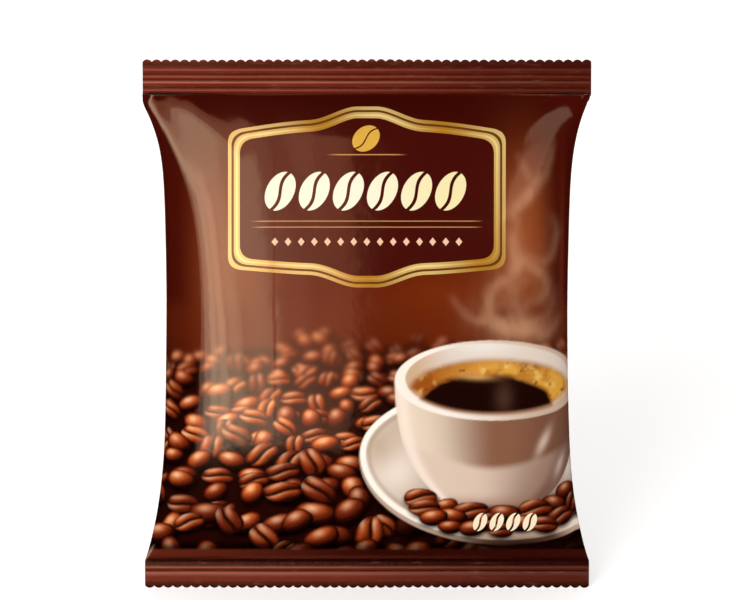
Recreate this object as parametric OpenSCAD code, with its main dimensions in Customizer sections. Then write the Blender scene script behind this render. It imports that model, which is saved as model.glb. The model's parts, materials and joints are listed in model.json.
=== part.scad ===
// Filled pillow pouch of ground coffee: one web of laminate film wrapped round the fill, closed
// by a fin seal down the middle of the back and by a crimped, zigzag-cut seal across each end.
// Millimetres, +Z up, the printed front faces -Y, and the origin is at the middle of the base.

/* [Pouch] */
// Width across the flat end seals
pouch_width = 150; // [120:1:200]
// Height from the bottom cut edge to the top cut edge
pouch_height = 200; // [170:1:260]
// Width of the filled pouch at its waist
waist_width = 134; // [110:1:150]
// Thickness of the filled pouch, from the front film to the back film
filled_depth = 41; // [26:1:50]
// Thickness of the laminate film
film = 0.12; // [0.1:0.01:0.16]

/* [End seals] */
// Height of the top end seal
top_seal_height = 13; // [10:0.5:16]
// Height of the bottom end seal
bottom_seal_height = 10.2; // [9:0.1:16]
// Height of the plain land between the crimp ribs and the teeth
land_height = 2.2; // [1.5:0.1:2.5]
// Distance from one crimp rib to the next
rib_pitch = 2.2; // [1.8:0.1:3]
// Height of a crimp rib above the middle of the seal
rib_height = 0.25; // [0.1:0.05:0.4]
// Number of teeth across the cut edge
tooth_count = 48; // [30:1:60]
// Depth of the teeth
tooth_depth = 0.9; // [0.5:0.1:1.2]

/* [Fin seal] */
// Width of the fin that lies folded on the back
fin_width = 11; // [8:0.5:14]

/* [Fill] */
// Height of the level top of the coffee
fill_level = 160; // [120:1:165]
// Room between the coffee and the film
fill_room = 0.3; // [0.3:0.1:1]

/* [Hidden] */

FRONT = -1;
BACK = 1;

bead_radius = 0.2;       // squeezed-out sealant along each seal's root, and the fold's axis
fold_room = 0.5;         // from a fold's axis to the edge of the panels
ply_gap = 0.03;          // between the fin and the panel that it lies on
flare_bottom = 18;       // how quickly the sides draw in above the bottom seal
flare_top = 15;          // how quickly the sides draw in below the top seal
swell = 15;              // how quickly the film swells out beside a seal
round_off = 20;          // how quickly the section turns from a lens into a full oval
base_heaviness = 0.1;    // extra depth at the base, where the coffee settles
root_plain = 0.8;        // plain strip between a seal's root and its first rib
bottom_slope = 1.7;      // steepest rise of the film beside a seal, as 1 / cosine
columns = 24;            // facets across a panel
rows = 28;               // facets up a panel

bottom_root = bottom_seal_height;
top_root = pouch_height - top_seal_height;
cavity_low = bottom_root + fold_room;
cavity_high = top_root - fold_room;
cavity_middle = (cavity_low + cavity_high) / 2;
cavity_half = (cavity_high - cavity_low) / 2;
tooth_pitch = pouch_width / tooth_count;

// The fin adds to the back, so the back bulges by that much less and the pouch stays centred.
fin_thickness = ply_gap + 2 * film;
front_bulge = filled_depth / 2 - film;
back_bulge = front_bulge - fin_thickness;

// Heights of the rows, closer together beside the seals, where the film curves most.
function row_height(i) = cavity_middle - cavity_half * cos(180 * i / rows);

// Half width of the pouch at height z.
function half_width(z) =
    let (flare = (pouch_width - waist_width) / 2 - film)
    waist_width / 2
    + flare * exp(-(z - cavity_low) / flare_bottom)
    + flare * exp(-(cavity_high - z) / flare_top);

// Share of the full bulge at height z: nothing at the seals and nearly one between them.
function swell_share(z) =
    (1 - exp(-(z - cavity_low) / swell))
    * (1 - exp(-(cavity_high - z) / swell))
    * (1 + base_heaviness * (1 - z / pouch_height)) / (1 + base_heaviness / 2);

// From 0 beside a seal, where the section is a thin lens, to 1 in the middle.
function roundness(z) = 1 - exp(-min(z - cavity_low, cavity_high - z) / round_off);

// Share of the bulge at s, which runs from -1 to 1 across the pouch.
function section_share(s, z) =
    let (e = roundness(z))
    pow(max(0, 1 - pow(abs(s), 2 + 0.5 * e)), 1 / (1 + 1.2 * e));

function bulge_of(side) = side == FRONT ? front_bulge : back_bulge;

// Point on the inside of the film. u runs from -1 to 1 across the pouch.
function film_inside(u, z, side) = [
    half_width(z) * sin(90 * u),
    side * bulge_of(side) * swell_share(z) * section_share(sin(90 * u), z),
    z
];

// Outward direction of the film, measured across small steps. The edges and ends are set.
function film_outward(u, z, side) =
    let (
        du = 0.002,
        dz = 0.02,
        at_side = abs(u) > 0.999,
        at_end = z < cavity_low + dz || z > cavity_high - dz,
        across = film_inside(u + du, z, side) - film_inside(u - du, z, side),
        up = film_inside(u, z + dz, side) - film_inside(u, z - dz, side),
        direction = cross(across, up) * -side
    )
    at_side && at_end ? [sign(u), side, 0] / sqrt(2)
    : at_side ? [sign(u), 0, 0]
    : at_end ? [0, side, 0]
    : direction / norm(direction);

function film_point(u, z, side, offset) =
    film_inside(u, z, side) + offset * film_outward(u, z, side);

// Position across the pouch of the line that lies x from the middle.
function u_at(x, z) = asin(x / half_width(z)) / 90;

// A closed sheet between two offsets from the film's inside, on a grid of points.
// near(z) and far(z) are the edges of the sheet across the pouch.
module film_sheet(side, low_offset, high_offset, across, near, far) {
    stride = across + 1;
    layer = stride * (rows + 1);
    outer_first = side == FRONT;
    offsets = [low_offset, high_offset];
    points = [
        for (offset = offsets)
            for (r = [0 : rows])
                let (z = row_height(r))
                for (c = [0 : across])
                    film_point(near(z) + (far(z) - near(z)) * c / across, z, side, offset)
    ];
    rim = concat(
        [for (c = [0 : across - 1]) c],
        [for (r = [0 : rows - 1]) r * stride + across],
        [for (c = [across : -1 : 1]) rows * stride + c],
        [for (r = [rows : -1 : 1]) r * stride]
    );
    outer_faces = [
        for (r = [0 : rows - 1])
            for (c = [0 : across - 1])
                let (a = layer + r * stride + c)
                each [[a, a + stride, a + stride + 1], [a, a + stride + 1, a + 1]]
    ];
    inner_faces = [
        for (f = outer_faces)
            [f[0] - layer, f[2] - layer, f[1] - layer]
    ];
    rim_faces = [
        for (i = [0 : len(rim) - 1])
            let (a = rim[i], b = rim[(i + 1) % len(rim)])
            each [[a, a + layer, b + layer], [a, b + layer, b]]
    ];
    faces = concat(outer_faces, inner_faces, rim_faces);
    polyhedron(
        points = points,
        faces = outer_first ? faces : [for (f = faces) [f[0], f[2], f[1]]],
        convexity = 6
    );
}

// Film of one side of the pouch, from one edge across to the other.
module panel(side, across, near, far) {
    film_sheet(side, 0, film, across, near, far);
}

// One ply of the fin, lying on the right-hand back panel.
module fin_ply(level) {
    low_offset = film + ply_gap + level * film;
    film_sheet(
        BACK, low_offset, low_offset + film, 6,
        function (z) u_at(0.1, z), function (z) u_at(fin_width, z)
    );
}

// Extrudes a profile drawn as [y, z] along X, centred on the pouch.
module along_x(length) {
    rotate([90, 0, 90])
        translate([0, 0, -length / 2])
            linear_extrude(length)
                children();
}

// Crimped stretch of one ply, as [y, z] with the seal's root at z = 0. Both plies follow one
// zigzag, so they lie face to face, and inner is how far the ply starts from that zigzag.
module crimp_profile(side, height, inner, thickness) {
    rib_count = floor((height - land_height - tooth_depth - root_plain) / rib_pitch);
    rib_top = root_plain + rib_count * rib_pitch;
    zigzag = concat(
        [[0, 0], [0, root_plain]],
        [
            for (i = [0 : rib_count - 1])
                for (part = [[0.3, -rib_height], [0.55, -rib_height], [1, 0]])
                    [part[1], root_plain + (i + part[0]) * rib_pitch]
        ],
        [[0, height - land_height - tooth_depth]]
    );
    near_edge = [for (p = zigzag) [p[0] + side * inner, p[1]]];
    far_edge = [for (i = [len(zigzag) - 1 : -1 : 0]) zigzag[i] + [side * (inner + thickness), 0]];
    polygon(concat(near_edge, far_edge));
}

// Plain land and teeth of one ply, as an outline drawn [x, z].
module land_outline(height, left, right) {
    low = height - land_height - tooth_depth;
    notch = height - tooth_depth;
    first = ceil(left / tooth_pitch);
    last = floor(right / tooth_pitch);
    teeth = [
        for (i = [first : last - 1])
            each [[i * tooth_pitch, notch], [(i + 0.5) * tooth_pitch, height]]
    ];
    polygon(concat([[left, low], [left, notch]], teeth, [[right, notch], [right, low]]));
}

// One ply of an end seal, standing up from its root at z = 0.
module seal_ply(side, height) {
    along_x(pouch_width)
        crimp_profile(side, height, 0, film);
    translate([0, side == FRONT ? 0 : film, 0])
        rotate([90, 0, 0])
            linear_extrude(film)
                land_outline(height, -pouch_width / 2, pouch_width / 2);
    intersection() {
        rotate([0, 90, 0])
            cylinder(h = pouch_width, r = bead_radius, center = true, $fn = 48);
        translate([-pouch_width / 2, side == FRONT ? -bead_radius : 0, -bead_radius])
            cube([pouch_width, bead_radius, 2 * bead_radius]);
    }
}

// End of the folded fin, caught in the back of an end seal.
module caught_fin(height) {
    translate([fin_width / 2, 0, 0])
        along_x(fin_width)
            crimp_profile(BACK, height, film, 2 * film);
    translate([0, 3 * film, 0])
        rotate([90, 0, 0])
            linear_extrude(2 * film)
                land_outline(height, 0, fin_width);
}

module at_top() {
    translate([0, 0, top_root])
        children();
}

module at_bottom() {
    translate([0, 0, bottom_root])
        mirror([0, 0, 1])
            children();
}

module front_panel() {
    color("saddlebrown")
        panel(FRONT, columns, function (z) -1, function (z) 1);
}

module back_panel_left() {
    color("saddlebrown")
        panel(BACK, columns / 2, function (z) -1, function (z) 0);
}

module back_panel_right() {
    color("saddlebrown")
        panel(BACK, columns / 2, function (z) 0, function (z) 1);
}

module fin_seal_inner_ply() {
    color("silver")
        fin_ply(0);
}

module fin_seal_outer_ply() {
    color("sienna")
        fin_ply(1);
}

module top_seal_front_ply() {
    color("#5a2a1c")
        at_top()
            seal_ply(FRONT, top_seal_height);
}

module top_seal_back_ply() {
    color("#5a2a1c")
        at_top() {
            seal_ply(BACK, top_seal_height);
            caught_fin(top_seal_height);
        }
}

module bottom_seal_front_ply() {
    color("#5a2a1c")
        at_bottom()
            seal_ply(FRONT, bottom_seal_height);
}

module bottom_seal_back_ply() {
    color("#5a2a1c")
        at_bottom() {
            seal_ply(BACK, bottom_seal_height);
            caught_fin(bottom_seal_height);
        }
}

// Ground coffee up to its level top, a little inside the film all round.
module coffee_fill() {
    levels = [for (r = [4 : rows]) if (row_height(r) < fill_level - 2) row_height(r)];
    heights = concat(levels, [fill_level]);
    ring = 2 * columns;
    points = [
        for (z = heights)
            for (i = [0 : ring - 1])
                let (
                    side = i < columns ? FRONT : BACK,
                    s = side == FRONT ? -cos(180 * i / columns) : cos(180 * (i - columns) / columns),
                    depth = bulge_of(side) * swell_share(z) - bottom_slope * fill_room
                )
                [(half_width(z) - fill_room) * s, side * depth * section_share(s, z), z]
    ];
    sides = [
        for (r = [0 : len(heights) - 2])
            for (i = [0 : ring - 1])
                let (a = r * ring + i, b = r * ring + (i + 1) % ring)
                each [[a, a + ring, b + ring], [a, b + ring, b]]
    ];
    base = [for (i = [0 : ring - 1]) i];
    top = [for (i = [ring - 1 : -1 : 0]) (len(heights) - 1) * ring + i];
    color("#3b2314")
        polyhedron(points = points, faces = concat(sides, [base, top]), convexity = 4);
}

front_panel();
back_panel_left();
back_panel_right();
fin_seal_inner_ply();
fin_seal_outer_ply();
top_seal_front_ply();
top_seal_back_ply();
bottom_seal_front_ply();
bottom_seal_back_ply();
coffee_fill();
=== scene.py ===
"""Looks of a filled pillow pouch of ground coffee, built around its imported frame.

The film is a simulated cloth tube, inflated against the seals. The print is painted in code onto its
points, and crisp inks (gold, cream) are drawn by the material from the print's own coordinates.
Lengths are metres, but positions on the print are millimetres. -Y is the printed front, +Z is up.
"""

import json
import math
from functools import partialmethod

import bpy
import numpy as np
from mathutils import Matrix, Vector


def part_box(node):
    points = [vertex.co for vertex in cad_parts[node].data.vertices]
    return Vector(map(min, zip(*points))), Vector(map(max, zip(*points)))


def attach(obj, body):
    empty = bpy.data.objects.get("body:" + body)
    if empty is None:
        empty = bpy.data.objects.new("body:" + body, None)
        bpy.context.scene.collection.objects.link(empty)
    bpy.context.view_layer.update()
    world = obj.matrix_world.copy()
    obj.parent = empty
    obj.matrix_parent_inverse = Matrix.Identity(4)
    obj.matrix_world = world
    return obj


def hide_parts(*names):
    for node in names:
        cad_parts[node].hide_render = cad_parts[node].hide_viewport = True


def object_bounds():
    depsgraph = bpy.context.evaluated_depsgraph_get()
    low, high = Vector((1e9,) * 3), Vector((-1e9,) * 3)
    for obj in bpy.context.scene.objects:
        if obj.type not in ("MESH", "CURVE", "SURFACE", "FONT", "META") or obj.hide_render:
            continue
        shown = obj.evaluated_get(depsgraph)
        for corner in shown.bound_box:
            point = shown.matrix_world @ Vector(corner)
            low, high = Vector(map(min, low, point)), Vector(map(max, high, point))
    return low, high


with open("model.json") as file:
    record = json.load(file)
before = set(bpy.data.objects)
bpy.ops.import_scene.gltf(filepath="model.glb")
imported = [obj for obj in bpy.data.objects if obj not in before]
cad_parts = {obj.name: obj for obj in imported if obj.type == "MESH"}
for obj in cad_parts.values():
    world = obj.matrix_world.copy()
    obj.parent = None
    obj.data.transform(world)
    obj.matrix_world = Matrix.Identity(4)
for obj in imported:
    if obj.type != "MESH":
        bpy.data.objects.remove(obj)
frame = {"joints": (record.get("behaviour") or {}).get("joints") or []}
CAD_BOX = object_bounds()
MM = 0.001

# ---- sizes from the frame

low, high = CAD_BOX
WIDTH = high.x - low.x
HEIGHT = high.z - low.z
JOINTS = {j["name"]: j for j in frame["joints"]}
TOP_ROOT = JOINTS["top_seal_fold"]["pos_m"][2]
BOTTOM_ROOT = JOINTS["bottom_seal_fold"]["pos_m"][2]
WAIST = 0.1372             # narrowest width that the film is drawn towards
BULGE = max(-low.y, high.y) - 0.4 * MM
FILM = 0.12 * MM
FILL_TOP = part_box("coffee_fill")[1].z
FIN_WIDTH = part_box("fin_seal_outer_ply")[1].x

# ---- camera

TILT = math.radians(27.3)
CAMERA_DISTANCE = 8.0
VIEW_WIDTH = 0.2519
AIM = Vector((2.7 * MM, 0.0, HEIGHT / 2 + 9.4 * MM))


def add_object(name, data):
    obj = bpy.data.objects.new(name, data)
    bpy.context.scene.collection.objects.link(obj)
    return obj


def make_camera():
    """A long lens looking down on the pouch, as the photograph does."""
    camera = add_object("camera", bpy.data.cameras.new("camera"))
    back = Vector((0, -math.cos(TILT), math.sin(TILT)))
    camera.location = AIM + back * CAMERA_DISTANCE
    camera.rotation_euler = (-back).to_track_quat("-Z", "Y").to_euler()
    camera.data.sensor_width = 36
    camera.data.lens = 36 * CAMERA_DISTANCE / VIEW_WIDTH
    camera.data.clip_end = 20
    bpy.context.scene.camera = camera


# ---- the film's shape

SEAM_GAP = 0.12 * MM       # from the pouch's middle plane to either film, at a seal
FILM_STEP = 2.5 * MM       # cloth mesh
HALF_COLUMNS = int(round(WIDTH / FILM_STEP))  # of the cloth mesh, from fold to fold
SLACK = 9 * MM             # film that is longer than the straight way between the seals
LOW_FLARE, TOP_FLARE = 0.021, 0.013  # how far from each seal the outline narrows
LOW_SWELL, TOP_SWELL = 0.015, 0.016  # how far from each seal the film swells
ROUNDING = 0.02            # how far from a seal the section turns from a lens to an oval
BLOWN_UP = 2.3 * MM        # what the pressure adds to the depth that the film is drawn towards
FULLER_FOOT = 0.10         # share by which the foot is deeper than the top
PINNED_ROWS = 3
SIM_SCALE = 10.0
SIM_FRAMES = 25
SWELL_BLUR, PLEAT_BLUR = 3.0, 0.9    # of the simulated film, in cloth steps
FRONT_CALM = 0.87          # share of the pleats that the taut front loses
SHARP_STEPS = 5            # cloth steps from a fold or seal within which the mesh turns exact
CLOTH = {
    "quality": 10, "mass": 0.15, "tension_stiffness": 150, "compression_stiffness": 150,
    "shear_stiffness": 80, "bending_stiffness": 5, "tension_damping": 15, "compression_damping": 15,
    "shear_damping": 15, "bending_damping": 1, "air_damping": 2, "vertex_group_mass": "pins",
    "pin_stiffness": 1, "use_pressure": True, "uniform_pressure_force": 20,
}


def half_width(z):
    """Half width of the filled pouch: it flares to the full width at each seal."""
    flare = (WIDTH - WAIST) / 2
    return (
        WAIST / 2
        + flare * np.exp(-np.maximum(z - BOTTOM_ROOT, 0) / LOW_FLARE)
        + flare * np.exp(-np.maximum(TOP_ROOT - z, 0) / TOP_FLARE)
    )


def half_depth(z):
    """How far the film stands out from the middle plane, along the pouch's centre line."""
    from_bottom = np.maximum(z - BOTTOM_ROOT, 0)
    from_top = np.maximum(TOP_ROOT - z, 0)
    swell = (1 - np.exp(-from_bottom / LOW_SWELL)) * (1 - np.exp(-from_top / TOP_SWELL))
    return (BULGE - BLOWN_UP) * swell * (1 + FULLER_FOOT * (1 - z / HEIGHT))


def roundness(z):
    """From 0 beside a seal, where the section is a thin lens, to 1 in the middle."""
    nearest = np.maximum(np.minimum(z - BOTTOM_ROOT, TOP_ROOT - z), 0)
    return 1 - np.exp(-nearest / ROUNDING)


def resample(x, y, shares):
    """Points at the given shares of the length of a fine polyline."""
    length = np.concatenate([[0], np.cumsum(np.hypot(np.diff(x), np.diff(y)))])
    return np.interp(shares * length[-1], length, x), np.interp(shares * length[-1], length, y)


def ring(x, y):
    """Once round a section, from the x and depth of its front half."""
    y[0] = y[-1] = 0
    return np.stack([np.concatenate([x, x[-2:0:-1]]), np.concatenate([-y, y[-2:0:-1]])], 1)


class FilmTube:
    """The web of film as a grid: rows go up the pouch, columns go round it from the left fold."""

    def __init__(self):
        self.length = TOP_ROOT - BOTTOM_ROOT + SLACK
        self.around = 2 * HALF_COLUMNS
        self.up = int(round(self.length / FILM_STEP))
        self.rows = self.up + 1 + 2 * PINNED_ROWS
        self.target = self.target_shape()
        self.points = self.target.copy()
        self.swell = np.zeros_like(self.target)

    def heights(self, low_end, between, high_end):
        """Heights of all rows: the pinned ones below low_end, those between, the pinned ones above."""
        past = np.arange(1, PINNED_ROWS + 1) * FILM_STEP
        return np.concatenate([low_end - past[::-1], between, high_end + past])

    def target_shape(self):
        """The filled shape that the film is drawn towards."""
        z_fine = np.linspace(BOTTOM_ROOT, TOP_ROOT, 2001)
        path_z, _ = resample(z_fine, half_depth(z_fine), np.linspace(0, 1, self.up + 1))
        shape = np.zeros((self.rows, self.around, 3))
        shape[..., 2] = self.heights(BOTTOM_ROOT, path_z, TOP_ROOT)[:, None]
        shares = np.linspace(0, 1, HALF_COLUMNS + 1)
        sweep = np.sin(np.linspace(-np.pi / 2, np.pi / 2, 1201))
        for row, z in enumerate(shape[:, 0, 2]):
            sealed = z <= BOTTOM_ROOT + 1e-9 or z >= TOP_ROOT - 1e-9
            wide = WIDTH / 2 if sealed else half_width(z)
            deep = 0.0 if sealed else half_depth(z)
            e = roundness(z)
            outline = deep * (1 - np.abs(sweep) ** (2 + 0.5 * e)) ** (1 / (1 + 1.2 * e))
            x, y = resample(sweep * wide, outline, shares)
            shape[row, :, :2] = ring(x, y + SEAM_GAP)
        return shape

    def flat_shape(self):
        """The film before filling: a flat tube of its true width and length."""
        x = np.linspace(-WIDTH / 2, WIDTH / 2, HALF_COLUMNS + 1)
        start = BOTTOM_ROOT - SLACK / 2
        along = np.linspace(0, self.length, self.up + 1)
        shape = np.zeros((self.rows, self.around, 3))
        shape[:, :, :2] = ring(x, np.full(HALF_COLUMNS + 1, SEAM_GAP))
        shape[:, :, 2] = (start + self.heights(0, along, self.length))[:, None]
        return shape

    def start_shape(self):
        """The target with faint long waves, so that the film has somewhere to begin folding."""
        phase = np.random.default_rng(3).uniform(0, 2 * np.pi, (6, 2))
        up = np.linspace(0, 1, self.rows)[:, None]
        around = np.linspace(0, 1, self.around)[None, :]
        wave = sum(
            np.sin(2 * np.pi * around * (6 + 3 * k) + phase[k, 0])
            * np.cos(np.pi * up * (2 + k) + phase[k, 1])
            for k in range(6)
        )
        shape = self.target.copy()
        shape[..., 1] += 0.2 * MM * self.loose(wave)
        return shape

    def loose(self, grid):
        """The grid with zeros where the film is held, at both seals."""
        grid[: PINNED_ROWS + 1] = 0
        grid[-PINNED_ROWS - 1 :] = 0
        return grid

    def hold(self):
        """How firmly each row is drawn to its target: loosely beside the seals, where it gathers."""
        row = np.arange(self.rows) - PINNED_ROWS
        share = np.clip(np.minimum(row, self.up - row) / self.up / 0.25, 0, 1)
        grip = 0.3 * (0.1 + 0.9 * share)
        grip[(row <= 0) | (row >= self.up)] = 1.0
        return grip

    def make_cloth(self):
        """The start shape as a mesh with its cloth modifier."""
        m = self.around
        index = np.arange(self.rows * m).reshape(self.rows, m)
        faces = grid_quads(np.concatenate([index, index[:, :1]], 1))
        mesh = bpy.data.meshes.new("film_cloth")
        points = (self.start_shape() * SIM_SCALE).reshape(-1, 3)
        mesh.from_pydata(points.tolist(), [], faces.tolist())
        cloth = add_object("film_cloth", mesh)
        cloth.shape_key_add(name="Basis")
        flat = cloth.shape_key_add(name="flat")
        flat.data.foreach_set("co", (self.flat_shape() * SIM_SCALE).ravel().astype(np.float32))
        flat.value = 0
        pins = cloth.vertex_groups.new(name="pins")
        for row, grip in enumerate(self.hold()):
            pins.add(index[row].tolist(), float(grip), "REPLACE")
        modifier = cloth.modifiers.new("cloth", "CLOTH")
        for setting, value in CLOTH.items():
            setattr(modifier.settings, setting, value)
        modifier.settings.rest_shape_key = flat
        modifier.settings.effector_weights.gravity = 0
        modifier.collision_settings.use_collision = False
        modifier.collision_settings.use_self_collision = False
        modifier.point_cache.frame_end = SIM_FRAMES
        return cloth

    def simulate(self):
        """Blender's cloth, blown up a little against its seals."""
        cloth = self.make_cloth()
        scene = bpy.context.scene
        scene.frame_start, scene.frame_end = 1, SIM_FRAMES
        for step in range(1, SIM_FRAMES + 1):
            scene.frame_set(step)
        settled = cloth.evaluated_get(bpy.context.evaluated_depsgraph_get()).to_mesh()
        points = np.zeros(len(settled.vertices) * 3)
        settled.vertices.foreach_get("co", points)
        bpy.data.objects.remove(cloth)
        scene.frame_set(1)
        self.settle(points.reshape(self.rows, self.around, 3) / SIM_SCALE - self.target)

    def settle(self, moved):
        """Keeps the long swell of the simulation, and fewer of its pleats on the taut front."""
        self.swell = self.loose(blur_grid(moved, SWELL_BLUR))
        pleats = self.loose(blur_grid(moved, PLEAT_BLUR)) - self.swell
        column = np.arange(self.around)
        into_front = np.minimum(column, HALF_COLUMNS - column)
        keep = 1 - FRONT_CALM * ease(0, 5, into_front)
        self.points = self.target + self.swell + pleats * keep[None, :, None]


def blur_grid(grid, sigma):
    """Gaussian blur of a grid whose columns wrap round."""
    reach = int(3 * sigma)
    steps = np.arange(-reach, reach + 1)
    weights = np.exp(-0.5 * (steps / sigma) ** 2)
    weights /= weights.sum()
    around = sum(w * np.roll(grid, k, 1) for k, w in zip(steps, weights))
    padded = np.pad(around, ((reach, reach), (0, 0), (0, 0)), "edge")
    rows = grid.shape[0]
    return sum(w * padded[reach + k : reach + k + rows] for k, w in zip(steps, weights))


# Creases that run down the front from each top corner: (x, z) points in millimetres, height, and
# how far each side of the crease slopes, outer side first.
CREASES = (
    (((-74, 188), (-71, 181), (-67, 174), (-62, 163), (-58, 150), (-56, 135), (-55, 115), (-56, 90),
      (-60, 62), (-66, 40), (-71, 22)), 0.8, 3.4, 12.0),
    (((-74, 188), (-66, 185), (-57, 181), (-48, 175), (-40, 167)), 0.9, 3.4, 7.0),
    (((-74, 188), (-70, 180), (-66, 172), (-61.5, 162), (-58, 152)), 0.7, 2.6, 3.0),
    (((74, 188), (70, 181), (66, 173), (64, 160), (63, 145), (63, 120), (64, 95), (66, 60), (70, 30)),
     0.5, 3.0, 10.0),
    (((74, 188), (66, 185), (57, 181), (49, 175), (42, 167)), 0.7, 3.4, 7.0),
)


def smooth_path(points, parts=8):
    """More points on the smooth curve through a few."""
    return spline_weights(len(points), parts) @ np.array(points, float)


def from_path(x, z, path):
    """Distance to a polyline, whether that is on its left, and how far along it, from 0 to 1."""
    distance = np.full(x.shape, np.inf)
    left, along = np.zeros(x.shape, bool), np.zeros(x.shape)
    for k, (start, end) in enumerate(zip(path[:-1], path[1:])):
        step = end - start
        t = np.clip(((x - start[0]) * step[0] + (z - start[1]) * step[1]) / (step @ step), 0, 1)
        dx, dz = x - start[0] - t * step[0], z - start[1] - t * step[1]
        d = np.hypot(dx, dz)
        nearer = d < distance
        distance = np.where(nearer, d, distance)
        left = np.where(nearer, step[0] * dz - step[1] * dx > 0, left)
        along = np.where(nearer, (k + t) / (len(path) - 1), along)
    return distance, left, along


def crease_heights(grid):
    """How far the creases lift each point of the front off the film, in metres."""
    x, z = grid[..., 0] / MM, grid[..., 2] / MM
    height = np.zeros_like(x)
    for points, rise, outer, inner in CREASES:
        path = smooth_path(points)
        reach = 2 * inner
        near = (grid[..., 1] < 0) & (x > path[:, 0].min() - reach) & (x < path[:, 0].max() + reach)
        near &= z > path[:, 1].min() - reach
        distance, left, along = from_path(x[near], z[near], path)
        outward = left if points[0][0] > 0 else ~left
        distance = np.sqrt(distance**2 + 0.5**2) - 0.5
        side = np.exp(-((distance / np.where(outward, outer, inner)) ** 1.6))
        ends = ease(0, 0.1, along) * (1 - ease(0.45, 1, along))
        height[near] += rise * MM * side * ends
    return height


# ---- smooth grids

# Cubic weights of four neighbouring points for the powers of t, from 0 to 1 between the middle two:
# a curve through the points, and one that runs near them without any kink.
THROUGH = np.array([[0, -1, 2, -1], [2, 0, -5, 3], [0, 1, 4, -3], [0, 0, -1, 1]]) / 2
NEAR = np.array([[1, -3, 3, -1], [4, 0, -6, 3], [1, 3, 3, -3], [0, 0, 0, 1]]) / 6


def spline_weights(count, parts, wrap=False, sharp=None):
    """Weights that put parts points on each of the count steps of a smooth line of points.

    The line passes through every point, unless sharp gives how nearly it has to at each one.
    """
    steps = count if wrap else count - 1
    total = steps * parts + (0 if wrap else 1)
    weights = np.zeros((total, count))
    for i in range(total):
        k, t = divmod(i, parts)
        t = t / parts
        if not wrap and k == steps:
            k, t = steps - 1, 1.0
        powers = t ** np.arange(4)
        hold = 1.0 if sharp is None else sharp[k] * (1 - t) + sharp[(k + 1) % count] * t
        shares = hold * (THROUGH @ powers) + (1 - hold) * (NEAR @ powers)
        for offset, share in zip((-1, 0, 1, 2), shares):
            at = (k + offset) % count if wrap else min(max(k + offset, 0), count - 1)
            weights[i, at] += share
    return weights


def refine(grid, parts_up, parts_around, wrap=False):
    """A finer grid of the tube: smooth, but exact along both folds and beside the seals."""
    rows, columns = np.arange(grid.shape[0]), np.arange(grid.shape[1])
    from_seal = np.minimum(rows, rows[-1] - rows) - PINNED_ROWS
    from_left = columns % HALF_COLUMNS
    from_fold = np.minimum(from_left, HALF_COLUMNS - from_left)
    up = spline_weights(len(rows), parts_up, False, 1 - ease(1, SHARP_STEPS, from_seal))
    around = spline_weights(len(columns), parts_around, wrap, 1 - ease(1, SHARP_STEPS, from_fold))
    return np.einsum("ir,rck,jc->ijk", up, grid, around, optimize=True)


def grid_normals(grid, wrap=False):
    """Unit normals of a grid whose columns run round the pouch and rows run up it, outward."""
    if wrap:
        across = np.roll(grid, -1, 1) - np.roll(grid, 1, 1)
    else:
        across = np.gradient(grid, axis=1)
    up = np.gradient(grid, axis=0)
    normal = np.cross(across, up)
    return normal / np.maximum(np.linalg.norm(normal, axis=2, keepdims=True), 1e-12)


def ease(low_edge, high_edge, value):
    """0 at the first edge, 1 at the second, and smooth between them."""
    t = np.clip((value - low_edge) / (high_edge - low_edge), 0, 1)
    return t * t * (3 - 2 * t)


def mix(a, b, share):
    """Blend of two colours or colour grids by a grid of shares."""
    share = np.asarray(share)[..., None]
    return np.asarray(a) * (1 - share) + np.asarray(b) * share


def coats(colour, *layers):
    """A colour under coats given as (display colour, grid of shares), the lowest first."""
    for tone, share in layers:
        colour = mix(colour, ink(*tone), share)
    return colour


def ink(red, green, blue):
    """A colour given as 0 to 255 display values, as linear light."""
    values = np.array([red, green, blue]) / 255
    return np.where(values <= 0.04045, values / 12.92, ((values + 0.055) / 1.055) ** 2.4)


# ---- the printed picture

# Millimetres on the print: u to the right of the middle, v up from the bottom cut edge, laid out
# as the front is seen from the camera's height. u runs on past the right fold to the back.
PAPER_STEP = 0.2
PAPER_LEFT, PAPER_RIGHT = -80.0, 224.0
PAPER_LOW, PAPER_HIGH = 0.0, 180.0
PAPER_U = np.arange(PAPER_LEFT, PAPER_RIGHT, PAPER_STEP)
PAPER_V = np.arange(PAPER_LOW, PAPER_HIGH, PAPER_STEP)
SIDE_FOLD_U = 72.0


def value_noise(u, v, size, seed, octaves=4):
    """Smooth noise from 0 to 1 with features of about the given size."""
    total, weight = np.zeros_like(u), 0.0
    for octave in range(octaves):
        lattice = np.random.default_rng(seed + octave).random((64, 64))
        x, y = u / size * 2**octave, v / size * 2**octave
        x0, y0 = np.floor(x).astype(int), np.floor(y).astype(int)
        fx, fy = ease(0, 1, x - x0), ease(0, 1, y - y0)
        rows = [
            lattice[x0 % 64, (y0 + dy) % 64] * (1 - fx) + lattice[(x0 + 1) % 64, (y0 + dy) % 64] * fx
            for dy in (0, 1)
        ]
        total += (rows[0] * (1 - fy) + rows[1] * fy) / 2**octave
        weight += 1 / 2**octave
    return total / weight


def soften(grid, reaches):
    """Blurs a raster along both axes, once for each reach in raster steps."""
    for reach in reaches:
        for axis in (0, 1):
            grid = (np.roll(grid, reach, axis) + 2 * grid + np.roll(grid, -reach, axis)) / 4
    return grid


def blob(u, v, at_u, at_v, wide, tall):
    return np.exp(-(((u - at_u) / wide) ** 2 + ((v - at_v) / tall) ** 2))


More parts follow.
